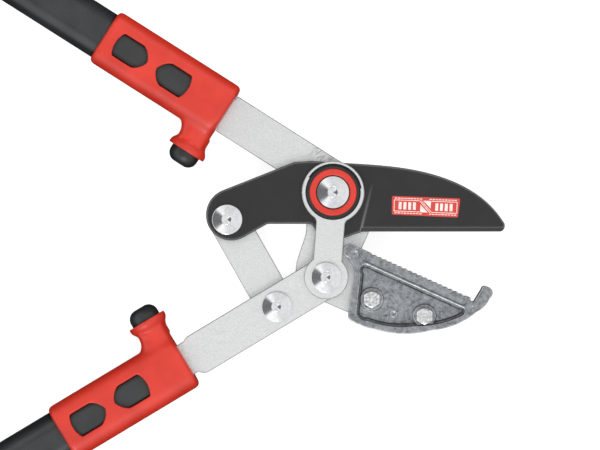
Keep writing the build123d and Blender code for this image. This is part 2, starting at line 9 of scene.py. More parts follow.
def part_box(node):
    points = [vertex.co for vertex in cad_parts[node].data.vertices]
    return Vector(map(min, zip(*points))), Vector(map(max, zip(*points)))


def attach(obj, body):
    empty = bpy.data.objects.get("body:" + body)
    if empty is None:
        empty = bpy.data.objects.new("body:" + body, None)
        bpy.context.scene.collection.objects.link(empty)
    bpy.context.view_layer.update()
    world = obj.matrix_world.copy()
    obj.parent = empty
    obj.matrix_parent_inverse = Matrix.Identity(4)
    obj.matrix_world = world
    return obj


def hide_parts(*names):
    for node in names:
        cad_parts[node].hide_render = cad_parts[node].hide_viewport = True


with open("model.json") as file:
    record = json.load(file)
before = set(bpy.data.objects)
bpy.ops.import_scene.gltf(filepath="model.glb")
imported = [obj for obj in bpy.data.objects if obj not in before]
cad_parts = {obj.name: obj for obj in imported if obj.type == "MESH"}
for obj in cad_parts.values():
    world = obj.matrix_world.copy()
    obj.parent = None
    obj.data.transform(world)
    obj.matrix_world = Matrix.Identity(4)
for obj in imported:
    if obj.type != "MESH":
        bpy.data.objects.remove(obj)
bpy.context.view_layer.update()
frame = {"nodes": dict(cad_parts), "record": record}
cadNodes = frame["nodes"]
mm = 0.001
print("frame loaded,", len(cadNodes), "nodes")


def centreOf(nodeName):
    low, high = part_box(nodeName)
    return (low + high) / 2


def newPiece(name, bm):
    # closes a bmesh into an object at the origin
    mesh = bpy.data.meshes.new(name)
    bm.to_mesh(mesh)
    bm.free()
    piece = bpy.data.objects.new(name, mesh)
    bpy.context.scene.collection.objects.link(piece)
    return piece


def dress(piece, material):
    piece.data.materials.clear()
    piece.data.materials.append(material)


def finishPiece(piece, material, slotName, body, *replaced):
    for face in piece.data.polygons:
        face.use_smooth = True
    dress(piece, material)
    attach(piece, body)
    if replaced:
        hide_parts(*replaced)


def applyModifiers(piece):
    # keeps the modified shape and drops the modifiers
    graph = bpy.context.evaluated_depsgraph_get()
    shaped = bpy.data.meshes.new_from_object(piece.evaluated_get(graph))
    piece.modifiers.clear()
    old = piece.data
    piece.data = shaped
    bpy.data.meshes.remove(old)


def bevelEdges(bm, edges, width, steps):
    bmesh.ops.bevel(bm, geom=edges, offset=width, segments=steps, profile=0.5, affect="EDGES", material=-1,
                    clamp_overlap=True)


def roundedBar(size, centre, longRadius, endRadius=0, steps=10):
    # a box along X with its long edges well rounded and its ends a little
    bm = bmesh.new()
    bmesh.ops.create_cube(bm, size=1)
    bmesh.ops.scale(bm, vec=size, verts=bm.verts)
    longEdges = [e for e in bm.edges if abs(e.verts[0].co.x - e.verts[1].co.x) > size[0] / 2]
    bevelEdges(bm, longEdges, longRadius, steps)
    if endRadius:
        bevelEdges(bm, [e for e in bm.edges if e.calc_face_angle(0) > 1.2], endRadius, 5)
    bmesh.ops.translate(bm, vec=centre, verts=bm.verts)
    return bm


def turnedShape(profile, steps=64):
    # spins (radius, height) points round Z into a closed shell
    bm = bmesh.new()
    points = [bm.verts.new((radius, 0, height)) for radius, height in profile]
    edges = [bm.edges.new(pair) for pair in zip(points, points[1:])]
    bmesh.ops.spin(bm, geom=points + edges, cent=(0, 0, 0), axis=(0, 0, 1), angle=math.tau, steps=steps,
                   use_merge=True)
    bmesh.ops.remove_doubles(bm, verts=bm.verts, dist=1e-6)
    bmesh.ops.recalc_face_normals(bm, faces=bm.faces)
    return bm


def prism(points, low, high):
    # a flat outline pulled up from low to high
    bm = bmesh.new()
    face = bm.faces.new([bm.verts.new((x, y, low)) for x, y in points])
    grown = bmesh.ops.extrude_face_region(bm, geom=[face])
    lifted = [item for item in grown["geom"] if isinstance(item, bmesh.types.BMVert)]
    bmesh.ops.translate(bm, vec=(0, 0, high - low), verts=lifted)
    bmesh.ops.recalc_face_normals(bm, faces=bm.faces)
    return bm


def addTo(bm, other):
    # moves another bmesh's geometry into this one
    spare = bpy.data.meshes.new("spare")
    other.to_mesh(spare)
    other.free()
    bm.from_mesh(spare)
    bpy.data.meshes.remove(spare)


def cutWith(piece, cutters):
    # takes each cutter's shape away from the piece
    tools = [newPiece("cutter" + str(number), cutter) for number, cutter in enumerate(cutters)]
    for tool in tools:
        boolean = piece.modifiers.new(tool.name, "BOOLEAN")
        boolean.operation = "DIFFERENCE"
        boolean.solver = "EXACT"
        boolean.object = tool
    applyModifiers(piece)
    for tool in tools:
        bpy.data.objects.remove(tool)


def fuse(piece, voxel):
    # one even skin over everything in the piece
    remesh = piece.modifiers.new("skin", "REMESH")
    remesh.mode = "VOXEL"
    remesh.voxel_size = voxel
    applyModifiers(piece)


def relax(piece, rounds, chosen=lambda point: True):
    # rubs creases down where chosen says so
    bm = bmesh.new()
    bm.from_mesh(piece.data)
    verts = [v for v in bm.verts if chosen(v.co)]
    for _ in range(rounds):
        bmesh.ops.smooth_vert(bm, verts=verts, factor=0.5, use_axis_x=True, use_axis_y=True, use_axis_z=True)
    bm.to_mesh(piece.data)
    bm.free()


def storeWearAndShading(piece, spread, gain):
    # a value per point from the surface's bend: 0.5 on the flat, higher on outer edges, lower in concave
    # places; finishes turn it into worn edges, painted highlights on edges and painted shade in concave
    # places
    bm = bmesh.new()
    bm.from_mesh(piece.data)
    bm.verts.ensure_lookup_table()
    bm.normal_update()
    around = [[e.other_vert(v).index for e in v.link_edges] for v in bm.verts]
    values = []
    for v, near in zip(bm.verts, around):
        middle = sum((bm.verts[i].co for i in near), Vector()) / max(len(near), 1)
        reach = sum((bm.verts[i].co - v.co).length for i in near) / max(len(near), 1)
        values.append((v.co - middle).dot(v.normal) / max(reach, 1e-9))
    bm.free()
    for _ in range(spread):
        values = [(values[i] + sum(values[j] for j in near) / max(len(near), 1)) / 2
                  for i, near in enumerate(around)]
    layer = piece.data.attributes.new("wearAndShading", "FLOAT", "POINT")
    layer.data.foreach_set("value", [min(1, max(0, 0.5 + gain * value)) for value in values])


def addNode(material, kind, inputs=None, **settings):
    # one shader node, its inputs set or linked by name
    node = material.node_tree.nodes.new("ShaderNode" + kind)
    for name, value in settings.items():
        setattr(node, name, value)
    for name, value in (inputs or {}).items():
        join(material, value, node.inputs[name])
    return node


def join(material, value, socket):
    if isinstance(value, bpy.types.NodeSocket):
        material.node_tree.links.new(value, socket)
    elif isinstance(value, tuple) and socket.type == "RGBA":
        socket.default_value = (*value, 1)
    else:
        socket.default_value = value


def newFinish(name, **sockets):
    # a material whose shader sockets are set by name
    material = bpy.data.materials.new(name)
    material.use_nodes = True
    setShader(material, **sockets)
    return material


def setShader(material, **sockets):
    shader = material.node_tree.nodes["Principled BSDF"]
    for name, value in sockets.items():
        join(material, value, shader.inputs[name.replace("_", " ")])


def placeOn(material, offset=(0, 0, 0), turn=0.0, stretch=(1, 1, 1)):
    # object coordinates, moved, turned and stretched
    coordinates = addNode(material, "TexCoord").outputs["Object"]
    return addNode(material, "Mapping", {"Vector": coordinates, "Location": offset, "Rotation": (0, 0, turn),
                                         "Scale": stretch}, vector_type="TEXTURE").outputs["Vector"]


def cloud(material, size, detail=3.0, rough=0.5, place=None):
    # noise in blotches of about that size
    inputs = {"Vector": place or placeOn(material), "Scale": 1 / size, "Detail": detail, "Roughness": rough}
    return addNode(material, "TexNoise", inputs).outputs["Fac"]


def ramp(material, source, stops):
    node = addNode(material, "ValToRGB", {"Fac": source})
    elements = node.color_ramp.elements
    while len(elements) < len(stops):
        elements.new(0.5)
    for element, (position, value) in zip(elements, stops):
        element.position = position
        element.color = (*value, 1) if isinstance(value, tuple) else (value, value, value, 1)
    return node.outputs["Color"]


def blend(material, factor, first, second):
    node = addNode(material, "Mix", data_type="RGBA")
    join(material, factor, node.inputs[0])
    join(material, first, node.inputs[6])
    join(material, second, node.inputs[7])
    return node.outputs[2]


def spanned(material, source, low, high, fromLow=0.0, fromHigh=1.0):
    # maps one stretch of values onto another
    inputs = {"Value": source, "From Min": fromLow, "From Max": fromHigh, "To Min": low, "To Max": high}
    return addNode(material, "MapRange", inputs).outputs["Result"]


def maths(material, kind, first, second):
    node = addNode(material, "Math", operation=kind)
    join(material, first, node.inputs[0])
    join(material, second, node.inputs[1])
    return node.outputs[0]


def bump(material, *heights):
    # each height is a source and a depth in metres; they add up
    last = None
    for source, depth in heights:
        inputs = {"Height": source, "Strength": 1.0, "Distance": depth}
        if last:
            inputs["Normal"] = last
        last = addNode(material, "Bump", inputs).outputs["Normal"]
    setShader(material, Normal=last)


def nearEdge(material, radius, sharp=0.80):
    # 1 within that distance of an edge, 0 on the flat
    rounded = addNode(material, "Bevel", {"Radius": radius}, samples=6).outputs["Normal"]
    plain = addNode(material, "NewGeometry").outputs["Normal"]
    dot = addNode(material, "VectorMath", operation="DOT_PRODUCT")
    join(material, rounded, dot.inputs[0])
    join(material, plain, dot.inputs[1])
    return spanned(material, dot.outputs["Value"], 1.0, 0.0, sharp, 0.995)


def onFlat(material, mask):
    # keeps a mask on faces that look straight up or down
    normal = addNode(material, "NewGeometry").outputs["Normal"]
    upright = addNode(material, "SeparateXYZ", {"Vector": normal}).outputs["Z"]
    level = spanned(material, maths(material, "ABSOLUTE", upright, 0), 0, 1, 0.90, 0.97)
    return maths(material, "MULTIPLY", mask, level)


def wearAndShadingOf(material):
    # the bend value behind worn edges, painted highlight and painted shade
    return addNode(material, "Attribute", attribute_name="wearAndShading").outputs["Fac"]


zincSheet = {"pale": (0.75, 0.755, 0.755), "dull": (0.61, 0.615, 0.62), "rim": (0.07, 0.07, 0.073),
             "cloudy": (0.62, 0.625, 0.63), "smoky": (0.36, 0.36, 0.37), "scratched": (0.16, 0.16, 0.17),
             "grain": 0.9 * mm, "blotch": 9 * mm, "smudge": 16 * mm, "edge": 0.3 * mm,
             "scuffs": (-6 * mm, 22 * mm, 12 * mm), "scuffReach": 13 * mm, "scuffGrain": 3 * mm,
             "scuffTurn": 35, "scuffStretch": (2.5, 0.5, 1)}


def makeZincSheet():
    # bright zinc on rolled sheet: fine mottling, smudges, scuffs above the main pivot, and dark edges that
    # are partly the duller sheared edge and partly painted shade
    z = zincSheet
    sheet = newFinish("zincSheet", Roughness=0.4, Metallic=0.85)
    grain = cloud(sheet, z["grain"], 4, 0.6)
    blotch = cloud(sheet, z["blotch"], 6, 0.65)
    smudge = cloud(sheet, z["smudge"], 8, 0.72)
    tone = blend(sheet, spanned(sheet, grain, 0, 1, 0.35, 0.65), z["dull"], z["pale"])
    tone = blend(sheet, spanned(sheet, blotch, 0, 0.45, 0.42, 0.7), tone, z["cloudy"])
    tone = blend(sheet, spanned(sheet, smudge, 0, 0.35, 0.60, 0.75), tone, z["smoky"])
    reach = addNode(sheet, "VectorMath", operation="LENGTH")
    join(sheet, placeOn(sheet, z["scuffs"]), reach.inputs[0])
    close = spanned(sheet, reach.outputs["Value"], 1, 0, z["scuffReach"] / 3, z["scuffReach"])
    streaks = placeOn(sheet, turn=math.radians(z["scuffTurn"]), stretch=z["scuffStretch"])
    drawn = cloud(sheet, z["scuffGrain"], 5, 0.7, streaks)
    scuff = maths(sheet, "MULTIPLY", close, spanned(sheet, drawn, 0, 1, 0.50, 0.62))
    tone = blend(sheet, maths(sheet, "MULTIPLY", scuff, 0.75), tone, z["scratched"])
    # painted shade along every edge, partly also the duller sheared metal: the edge mask darkens the tone to
    # the rim colour
    tone = blend(sheet, nearEdge(sheet, z["edge"]), tone, z["rim"])
    rough = spanned(sheet, blotch, 0.34, 0.46, 0.3, 0.7)
    setShader(sheet, **{"Base Color": tone, "Roughness": rough})
    bump(sheet, (grain, 0.012 * mm), (blotch, 0.02 * mm))
    return sheet


turnedSteel = {"ring": 0.42 * mm, "haze": 2.2 * mm, "pale": (0.74, 0.745, 0.755), "dull": (0.66, 0.67, 0.69)}


def makeTurnedSteel(name, centre):
    # fine lathe rings about one bolt's own axis
    t = turnedSteel
    steel = newFinish(name, Metallic=1.0)
    rings = addNode(steel, "TexWave", {"Vector": placeOn(steel, centre), "Scale": math.tau / t["ring"] / 20,
                                       "Distortion": 0.6, "Detail": 2.0},
                    wave_type="RINGS", rings_direction="Z").outputs["Fac"]
    haze = cloud(steel, t["haze"], 5, 0.6)
    tone = blend(steel, spanned(steel, haze, 0, 1, 0.38, 0.62), t["dull"], t["pale"])
    rough = spanned(steel, haze, 0.14, 0.18)
    setShader(steel, **{"Base Color": tone, "Roughness": rough})
    bump(steel, (rings, 0.0022 * mm), (haze, 0.006 * mm))
    return steel


blackCoat = {"colour": (0.012, 0.012, 0.013), "faded": (0.022, 0.022, 0.023), "edge": (0.15, 0.15, 0.155),
             "peel": 0.5 * mm, "drift": 16 * mm, "edgeWidth": 1.9 * mm}


def makeBlackCoat():
    # low-friction coat, faded in soft patches, with a lighter band along the edges of its flat faces that is
    # partly worn coating and partly a painted highlight of the chamfer
    b = blackCoat
    coat = newFinish("blackCoat", IOR=1.42)
    peel = cloud(coat, b["peel"])
    drift = cloud(coat, b["drift"], 4)
    tone = blend(coat, spanned(coat, drift, 0, 0.3, 0.4, 0.75), b["colour"], b["faded"])
    # painted highlight along the chamfers, partly also worn coating: a lighter band on up- and down-facing
    # faces near each edge
    tone = blend(coat, onFlat(coat, nearEdge(coat, b["edgeWidth"], 0.965)), tone, b["edge"])
    setShader(coat, **{"Base Color": tone, "Roughness": spanned(coat, drift, 0.32, 0.44, 0.3, 0.7)})
    bump(coat, (peel, 0.006 * mm))
    return coat


castMetal = {"dark": (0.086, 0.0929, 0.1), "body": (0.232, 0.248, 0.264), "pale": (0.396, 0.416, 0.437),
             "wornAndHighlit": (0.86, 0.87, 0.88), "hollow": (0.10, 0.104, 0.11),
             "lump": 2.6 * mm, "grit": 0.8 * mm, "stain": 11 * mm}


def makeCastMetal():
    # tumbled casting: mottled grey, with painted shade in concave places and bright outer edges that are
    # partly worn by tumbling and partly a painted highlight
    c = castMetal
    cast = newFinish("castMetal", Metallic=0.9)
    lumps = cloud(cast, c["lump"], 7, 0.7)
    grit = cloud(cast, c["grit"], 4, 0.6)
    stain = cloud(cast, c["stain"], 6, 0.62)
    tone = ramp(cast, lumps, [(0.32, c["dark"]), (0.46, c["body"]), (0.66, c["pale"])])
    tone = blend(cast, spanned(cast, grit, 0, 0.5, 0.45, 0.75), tone, c["pale"])
    tone = blend(cast, spanned(cast, stain, 0, 0.45, 0.45, 0.75), tone, c["dark"])
    wearAndShading = wearAndShadingOf(cast)
    # bright outer edges: partly worn metal, partly painted highlight
    tone = blend(cast, spanned(cast, wearAndShading, 0, 0.9, 0.60, 0.95), tone, c["wornAndHighlit"])
    # painted shade: darker in concave places such as grooves and corners
    tone = blend(cast, spanned(cast, wearAndShading, 0.9, 0, 0.08, 0.42), tone, c["hollow"])
    setShader(cast, **{"Base Color": tone, "Roughness": spanned(cast, lumps, 0.5, 0.3, 0.3, 0.7)})
    bump(cast, (lumps, 0.14 * mm), (grit, 0.06 * mm))
    return cast


redMoulding = {"colour": (0.60, 0.034, 0.018), "deep": (0.50, 0.024, 0.012), "hollow": (0.54, 0.008, 0.004),
               "shade": (0.10, 0.006, 0.004), "reach": 1.4 * mm, "spark": 0.4 * mm, "drift": 24 * mm}


def makeRedMoulding(name, shadeInHollows):
    # satin moulded plastic with a fine spark-eroded skin, with painted shade beside a step and, on the
    # sleeves, painted shade in concave places
    r = redMoulding
    red = newFinish(name, IOR=1.47)
    drift = cloud(red, r["drift"])
    spark = cloud(red, r["spark"], 2)
    tone = blend(red, spanned(red, drift, 0, 1, 0.35, 0.65), r["deep"], r["colour"])
    # painted shade: darker where an AO node finds another surface within reach
    clear = addNode(red, "AmbientOcclusion", {"Distance": r["reach"]}, samples=8).outputs["AO"]
    tone = blend(red, spanned(red, clear, 0, 1, 0.5, 0.85), r["shade"], tone)
    if shadeInHollows:
        # painted shade: darker red in concave places
        tone = blend(red, spanned(red, wearAndShadingOf(red), 0.8, 0, 0.15, 0.45), tone, r["hollow"])
    setShader(red, **{"Base Color": tone, "Roughness": spanned(red, spark, 0.34, 0.46, 0.3, 0.7)})
    bump(red, (spark, 0.010 * mm))
    return red


plainBlack = {"lighter": 1.6, "drift": 30, "stepShade": (0.001, 0.001, 0.001)}


def makeBlack(name, colour, rough, grain, depth, metallic=0.0, shade=0.0):
    # any of the plain blacks: powder coat, rubber, oxide, filled nylon
    p = plainBlack
    black = newFinish(name, Metallic=metallic)
    skin = cloud(black, grain, 2)
    drift = cloud(black, grain * p["drift"])
    lighter = tuple(channel * p["lighter"] for channel in colour)
    tone = blend(black, spanned(black, drift, 0, 0.8, 0.35, 0.7), colour, lighter)
    if shade:
        # painted shade: darker beside a step, where an AO node finds a surface close by
        clear = addNode(black, "AmbientOcclusion", {"Distance": shade}, samples=8).outputs["AO"]
        tone = blend(black, spanned(black, clear, 0, 1, 0.5, 0.85), p["stepShade"], tone)
    sheen = spanned(black, skin, rough - 0.05, rough + 0.07, 0.3, 0.7)
    setShader(black, **{"Base Color": tone, "Roughness": sheen})
    bump(black, (skin, depth))
    return black


boltSteel = {"haze": 1.6 * mm, "tones": [(0.34, (0.30, 0.31, 0.32)), (0.5, (0.62, 0.63, 0.635)),
                                         (0.66, (0.88, 0.885, 0.89))]}


def makeBoltSteel():
    # zinc-plated fasteners, hazy and a little pitted
    steel = newFinish("boltSteel", Metallic=1.0)
    haze = cloud(steel, boltSteel["haze"], 6, 0.65)
    tone = ramp(steel, haze, boltSteel["tones"])
    setShader(steel, **{"Base Color": tone, "Roughness": spanned(steel, haze, 0.4, 0.18)})
    bump(steel, (haze, 0.10 * mm))
    return steel


bushBronze = {"pore": 0.5 * mm, "tones": [(0.0, (0.30, 0.20, 0.10)), (0.3, (0.62, 0.44, 0.22))]}


def makeBronze():
    # sintered bronze, darker in its pores
    bronze = newFinish("bushBronze", Metallic=1.0, Roughness=0.4)
    grain = {"Vector": placeOn(bronze), "Scale": 1 / bushBronze["pore"]}
    pores = addNode(bronze, "TexVoronoi", grain).outputs["Distance"]
    setShader(bronze, **{"Base Color": ramp(bronze, pores, bushBronze["tones"])})
    bump(bronze, (pores, 0.02 * mm))
    return bronze


def makeMixed(name, first, second, grain, rough):
    # nylon and printing ink: two close tones in soft patches
    mixed = newFinish(name, Roughness=rough)
    spread = cloud(mixed, grain)
    tone = blend(mixed, spanned(mixed, spread, 0, 1, 0.35, 0.65), first, second)
    setShader(mixed, **{"Base Color": tone})
    bump(mixed, (spread, 0.006 * mm))
    return mixed


finishes = {
    "zinc_plate": makeZincSheet(),
    "coated_blade": makeBlackCoat(),
    "blade_print": makeMixed("redInk", (0.47, 0.033, 0.024), (0.56, 0.052, 0.038), 0.8 * mm, 0.42),
    "anvil_casting": makeCastMetal(),
    "bolt_steel": makeBoltSteel(),
    "black_oxide": makeBlack("blackOxide", (0.016, 0.017, 0.019), 0.36, 0.3 * mm, 0.006 * mm, 0.3),
    "red_plastic": makeRedMoulding("redMoulding", False),
    "bush_bronze": makeBronze(),
    "washer_nylon": makeMixed("washerNylon", (0.80, 0.78, 0.72), (0.88, 0.87, 0.83), 2 * mm, 0.45),
    "core_nylon": makeBlack("coreNylon", (0.05, 0.05, 0.053), 0.55, 0.4 * mm, 0.02 * mm),
    "black_rubber": makeBlack("blackRubber", (0.012, 0.013, 0.014), 0.42, 0.4 * mm, 0.008 * mm),
    "grip_rubber": makeBlack("gripRubber", (0.018, 0.019, 0.020), 0.58, 0.5 * mm, 0.03 * mm),
    "black_tube": makeBlack("tubeCoat", (0.017, 0.018, 0.019), 0.27, 0.5 * mm, 0.008 * mm, shade=3.5 * mm),
}
# the sleeves also get painted shade in concave places
sleeveRed = makeRedMoulding("sleeveRed", True)
whiteInk = makeMixed("whiteInk", (0.74, 0.50, 0.46), (0.88, 0.78, 0.74), 1.2 * mm, 0.45)
slotOfNode = {part["node"]: part["material_slot"] for part in frame["record"]["subparts"]}
for nodeName, node in cadNodes.items():
    dress(node, finishes.get(slotOfNode[nodeName], finishes["bolt_steel"]))
print("finishes made")


sleeve = {
    "length": 93.4, "width": 38.2, "thickness": 28.0, "corner": 9.5, "end": 3.0, "nose": 6.0,
    "armWidth": 18.9, "armThickness": 20.0, "armFillet": 9.0, "armRim": 6.0, "armRoot": 34.0, "armSunk": 1.5,
    "armShort": 3.0,
    "cupCentre": 8.65, "cupReach": 35.0, "cupRadius": 13.0, "cupNeck": 9.8, "cupRecess": 2.5,
    "stemDepth": 12.0, "stem": 6.6, "bumper": 10.05,
    "bore": (32.8, 22.3), "tang": (22.0, 5.2), "tangDrop": -2.8,
    "windowHalf": 8.2, "windowLength": 14.7, "windowNose": 7.4, "windowBulge": 2.3,
    "windows": ((31.1, 1), (82.2, -1)),
    "voxel": 0.55, "skin": 0.5}


def handleAxes(prefix):
    # a matrix from one handle's own millimetres, along it and across towards its bumper, to the frame
    pins = centreOf(prefix + "_tang_pins")
    along = (centreOf(prefix + "_tube") - pins).normalized()
    across = centreOf(prefix + "_bumper") - pins
    across -= along * across.dot(along)
    across.normalize()
    rear = max((v.co - pins).dot(along) for v in cadNodes[prefix + "_sleeve"].data.vertices)
    start = pins + along * (rear - sleeve["length"] * mm)
    up = along.cross(across)
    columns = Matrix((along, across, up)).transposed().to_4x4()
    return Matrix.Translation(start) @ columns @ Matrix.Scale(mm, 4)


def arcThrough(first, middle, last, steps):
    # points on the circle through three given ones, ends included
    (ax, ay), (bx, by), (cx, cy) = first, middle, last
    d = 2 * (ax * (by - cy) + bx * (cy - ay) + cx * (ay - by))
    a2, b2, c2 = ax * ax + ay * ay, bx * bx + by * by, cx * cx + cy * cy
    ux = (a2 * (by - cy) + b2 * (cy - ay) + c2 * (ay - by)) / d
    uy = (a2 * (cx - bx) + b2 * (ax - cx) + c2 * (bx - ax)) / d
    radius = math.hypot(ax - ux, ay - uy)
    start = math.atan2(ay - uy, ax - ux)
    sweep = (math.atan2(cy - uy, cx - ux) - start) % math.tau
    if (math.atan2(by - uy, bx - ux) - start) % math.tau > sweep:
        sweep -= math.tau
    turns = [start + sweep * i / steps for i in range(steps + 1)]
    return [(ux + radius * math.cos(t), uy + radius * math.sin(t)) for t in turns]


def windowOutline(end, way):
    # a pointed nose one way and a gently rounded end the other
    half = sleeve["windowHalf"]
    shoulder = end + way * sleeve["windowLength"]
    tip = shoulder + way * sleeve["windowNose"]
    side = shoulder + way * 0.62 * sleeve["windowNose"]
    nearTip = tip - way * 0.5
    tail = arcThrough((end, -half), (end - way * sleeve["windowBulge"], 0), (end, half), 8)
    noseIn = arcThrough((shoulder, half), (side, 0.6 * half), (nearTip, 1.1), 8)
    noseOut = arcThrough((nearTip, -1.1), (side, -0.6 * half), (shoulder, -half), 8)
    return tail + noseIn + [(tip - way * 0.12, 0)] + noseOut


def placeCup(bm):
    # stands a turned shape on the arm, mouth towards the other handle
    bmesh.ops.rotate(bm, cent=(0, 0, 0), matrix=Matrix.Rotation(-math.pi / 2, 3, "X"), verts=bm.verts)
    bmesh.ops.translate(bm, vec=(sleeve["cupCentre"], 0, 0), verts=bm.verts)
    return bm


def makeArm():
    s = sleeve
    side = s["width"] / 2 - s["armSunk"]
    foot = s["armWidth"] + s["armRoot"]
    reach = s["cupReach"] - s["armShort"]
    arm = prism([(0, 2), (foot, 2), (foot, side), (s["armWidth"], side), (s["armWidth"], reach), (0, reach)],
                -s["armThickness"] / 2, s["armThickness"] / 2)
    corner = Vector((s["armWidth"], side, 0))
    inner = [e for e in arm.edges
             if all((Vector((*v.co.xy, 0)) - corner).length < 0.01 for v in e.verts)]
    bevelEdges(arm, inner, s["armFillet"], 12)
    rims = [e for e in arm.edges if abs(e.verts[0].co.z - e.verts[1].co.z) < 0.01
            and max(v.co.y for v in e.verts) > 3 and e.calc_face_angle(0) > 1]
    bevelEdges(arm, rims, s["armRim"], 8)
    return arm


def makeCup():
    # a straight neck that flares into a thick lip
    s = sleeve
    reach, neck, wide = s["cupReach"], s["cupNeck"], s["cupRadius"]
    return placeCup(turnedShape([
        (0, reach - 14), (neck, reach - 14), (neck, reach - 8.6), (neck + 0.5, reach - 7),
        (neck + 1.6, reach - 5.2), (neck + 2.4, reach - 4.3), (wide - 0.2, reach - 3), (wide, reach - 2.4),
        (wide, reach), (0, reach)]))


def makeSleeves():
    s = sleeve
    size = (s["length"], s["width"], s["thickness"])
    body = roundedBar(size, (s["length"] / 2, 0, 0), s["corner"], s["end"])
    addTo(body, makeArm())
    blank = newPiece("sleeveBlank", body)
    fuse(blank, s["voxel"])
    # the arm runs into the body in a soft hollow
    relax(blank, 110, lambda p: p.x < 44 and 7 < p.y < 27 and abs(p.z) > 5)
    relax(blank, 5)
    whole = bmesh.new()
    whole.from_mesh(blank.data)
    addTo(whole, makeCup())
    whole.to_mesh(blank.data)
    whole.free()
    fuse(blank, s["skin"])
    relax(blank, 3, lambda p: p.y < s["cupReach"] - 4)
    boreCentre = (s["nose"] + s["length"] / 2, 0, 0)
    bore = roundedBar((s["length"], *s["bore"]), boreCentre, s["bore"][1] / 2 - 0.05, 0, 16)
    floor = s["cupReach"] - s["stemDepth"]
    step = s["cupReach"] - s["cupRecess"]
    socket = placeCup(turnedShape([(0, floor), (s["stem"], floor), (s["stem"], step), (s["bumper"], step),
                                   (s["bumper"], s["cupReach"] + 5), (0, s["cupReach"] + 5)]))
    tangRoom = roundedBar((20, *s["tang"]), (0, 0, s["tangDrop"]), 0.3, 0, 2)
    windows = [prism(windowOutline(end, way), -20, 20) for end, way in s["windows"]]
    cutWith(blank, [bore, socket, tangRoom] + windows)
    fuse(blank, s["skin"])
    relax(blank, 2)
    storeWearAndShading(blank, 8, 9)
    for prefix, body in (("upper", "frame"), ("lower", "lower_handle")):
        piece = blank.copy()
        piece.data = blank.data.copy()
        piece.name = prefix + "RedSleeve"
        bpy.context.scene.collection.objects.link(piece)
        piece.data.transform(handleAxes(prefix))
        finishPiece(piece, sleeveRed, "red_plastic", body, prefix + "_sleeve")
    print("sleeve faces", len(blank.data.polygons))
    bpy.data.objects.remove(blank)


makeSleeves()
print("sleeves made")


casting = {"voxel": 0.4 * mm, "marks": 0.28 * mm, "ringRadius": 1.9, "ringWidth": 0.45, "pitWidth": 0.9,
           "dotWidth": 0.55, "skinDrop": 0.06 * mm,
           "rings": ((14.4, -39.4), (90.2, -74.9), (39.4, -78.8)),
           "dots": ((70.5, -74.3), (70.5, -78.3), (70.3, -80.7), (28.6, -81.4), (32.2, -81.6), (35.6, -81.2))}


def castRelief(point):
    # how far the casting stands off at a point, in metres: pin rings, dots and an uneven skin
    c = casting
    high = 0
    for x, y in c["rings"]:
        away = math.hypot(point.x / mm - x, point.y / mm - y)
        if away < 4:
            ring = math.exp(-((away - c["ringRadius"]) / c["ringWidth"]) ** 2)
            high += ring - 1.3 * math.exp(-(away / c["pitWidth"]) ** 2)
    for x, y in c["dots"]:
        away = math.hypot(point.x / mm - x, point.y / mm - y)
        if away < 2:
            high += math.exp(-(away / c["dotWidth"]) ** 2)
    lumps = 0.16 * noise.noise(point / (6 * mm)) + 0.14 * noise.noise(point / (1.7 * mm))
    return (high + lumps) * c["marks"] - c["skinDrop"]


def makeAnvil():
    # the drawn anvil with its sharp edges softened and its upper side cast uneven
    bm = bmesh.new()
    bm.from_mesh(cadNodes["anvil"].data)
    bmesh.ops.remove_doubles(bm, verts=bm.verts, dist=1e-6)
    piece = newPiece("anvilCasting", bm)
    fuse(piece, casting["voxel"])
    relax(piece, 2)
    bm = bmesh.new()
    bm.from_mesh(piece.data)
    top = max(v.co.z for v in bm.verts)
    for v in bm.verts:
        if v.normal.z > 0.5 or v.co.z > top - 3 * mm:
            v.co += v.normal * min(castRelief(v.co), (top - v.co.z) / max(v.normal.z, 0.1))
    bm.to_mesh(piece.data)
    bm.free()
    storeWearAndShading(piece, 2, 2.5)
    finishPiece(piece, finishes["anvil_casting"], "anvil_casting", "frame", "anvil")
    print("anvil faces", len(piece.data.polygons))


makeAnvil()
print("anvil made")


bolts = {
    "main": {"node": "main_pivot_bolt", "body": "frame", "head": 10.6, "shank": 6.0, "dimple": 2.9},
    "handle": {"node": "handle_pivot_bolt", "body": "frame", "head": 9.85, "shank": 4.0, "dimple": 2.6},
    "tail": {"node": "tail_pivot_bolt", "body": "blade", "head": 9.85, "shank": 4.0, "dimple": 2.6},
    "link": {"node": "link_pivot_bolt", "body": "lower_handle", "head": 9.85, "shank": 4.0, "dimple": 2.6}}
boltHead = {"steps": 128, "lead": 0.3, "edge": 1.5, "rise": 1.3, "chamfer": 0.3, "nub": 3.2, "nubRise": 0.25,
            "hollow": 0.5}


